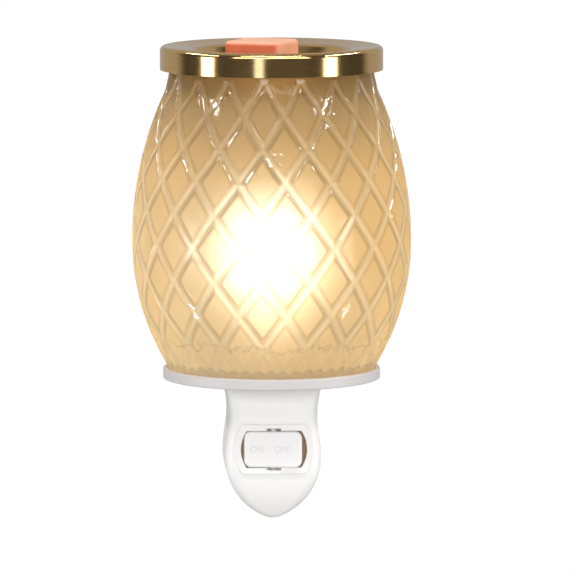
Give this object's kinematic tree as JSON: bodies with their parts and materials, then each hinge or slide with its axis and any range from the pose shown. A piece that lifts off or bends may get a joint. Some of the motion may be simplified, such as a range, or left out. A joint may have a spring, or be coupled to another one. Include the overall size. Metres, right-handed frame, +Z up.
{
  "type": "wax melt warmer",
  "caption": "Plug-in wax melt warmer: cut-glass barrel shade over a lamp on a tray, lift-off metal dish with a wax cube, teardrop housing with a rocker switch and a swivel plug.",
  "frame": {"origin": "on the wall, in the middle of the plug and on its swivel axis", "axes": "+Y back into the wall, +Z up, +X to the right as seen from the front"},
  "size_m": [0.1004, 0.1213, 0.1721],
  "materials": {
    "champagne_glass": "gloss outside, frosted inside",
    "frosted_glass": "frosted",
    "clear_glass": "gloss",
    "brushed_brass": "brushed",
    "contact_brass": "satin",
    "plated_metal": "satin",
    "screw_steel": "satin",
    "spring_steel": "satin",
    "coral_wax": "soft satin",
    "tray_grey": "satin",
    "housing_white": "satin",
    "switch_white": "satin",
    "inner_brown": "matt",
    "holder_white": "satin",
    "black_glass": "gloss",
    "silicone": "matt",
    "wire_black": "satin",
    "wire_white": "satin"
  },
  "bodies": {
    "housing": {"glass_shade": "champagne_glass", "shade_seal": "silicone", "base_tray": "tray_grey", "tray_screws": "screw_steel", "front_shell": "housing_white", "rear_shell": "housing_white", "shell_screws": "screw_steel", "switch_bezel": "switch_white", "switch_case": "inner_brown", "switch_terminal_line": "contact_brass", "switch_terminal_load": "contact_brass", "socket_body": "holder_white", "socket_screw_shell": "contact_brass", "socket_centre_tab": "contact_brass", "contact_block": "holder_white", "contact_spring_live": "contact_brass", "contact_spring_neutral": "contact_brass", "wire_live": "wire_black", "wire_switched": "wire_black", "wire_neutral": "wire_white"},
    "dish": {"wax_dish": "brushed_brass"},
    "wax": {"wax_cube": "coral_wax"},
    "rocker": {"switch_rocker": "switch_white", "switch_plunger": "holder_white", "switch_spring": "spring_steel"},
    "seesaw": {"switch_seesaw": "contact_brass"},
    "plug": {"swivel_plug": "housing_white", "blade_live": "contact_brass", "blade_neutral": "contact_brass", "contact_ring_live": "contact_brass", "contact_ring_neutral": "contact_brass"},
    "bulb": {"bulb_glass": "frosted_glass", "bulb_cap": "plated_metal", "bulb_insulator": "black_glass", "bulb_tip_contact": "plated_metal", "bulb_stem": "clear_glass", "bulb_leads": "plated_metal", "bulb_filament": "spring_steel"}
  },
  "joints": [
    {"name": "dish_lift", "type": "slide", "parent": "housing", "child": "dish", "axis": [0, 0, 1], "range_m": [0, 0.06]},
    {"name": "wax_lift", "type": "slide", "parent": "dish", "child": "wax", "axis": [0, 0, 1], "range_m": [0, 0.04]},
    {"name": "rocker_tilt", "type": "hinge", "parent": "housing", "child": "rocker", "pos_m": [0, -0.068, 0], "axis": [0, 0, 1], "range_deg": [0, 16]},
    {"name": "seesaw_tilt", "type": "hinge", "parent": "housing", "child": "seesaw", "pos_m": [0, -0.0624, 0], "axis": [0, 0, 1], "range_deg": [-8, 0]},
    {"name": "plug_swivel", "type": "hinge", "parent": "housing", "child": "plug", "pos_m": [0, 0, 0], "axis": [0, 1, 0], "range_deg": [0, 90]},
    {"name": "bulb_out", "type": "slide", "parent": "housing", "child": "bulb", "axis": [0, 0, 1], "range_m": [0, 0.026]}
  ],
  "couplings": [
    {"joint": "seesaw_tilt", "follows": "rocker_tilt", "ratio": -0.5}
  ]
}
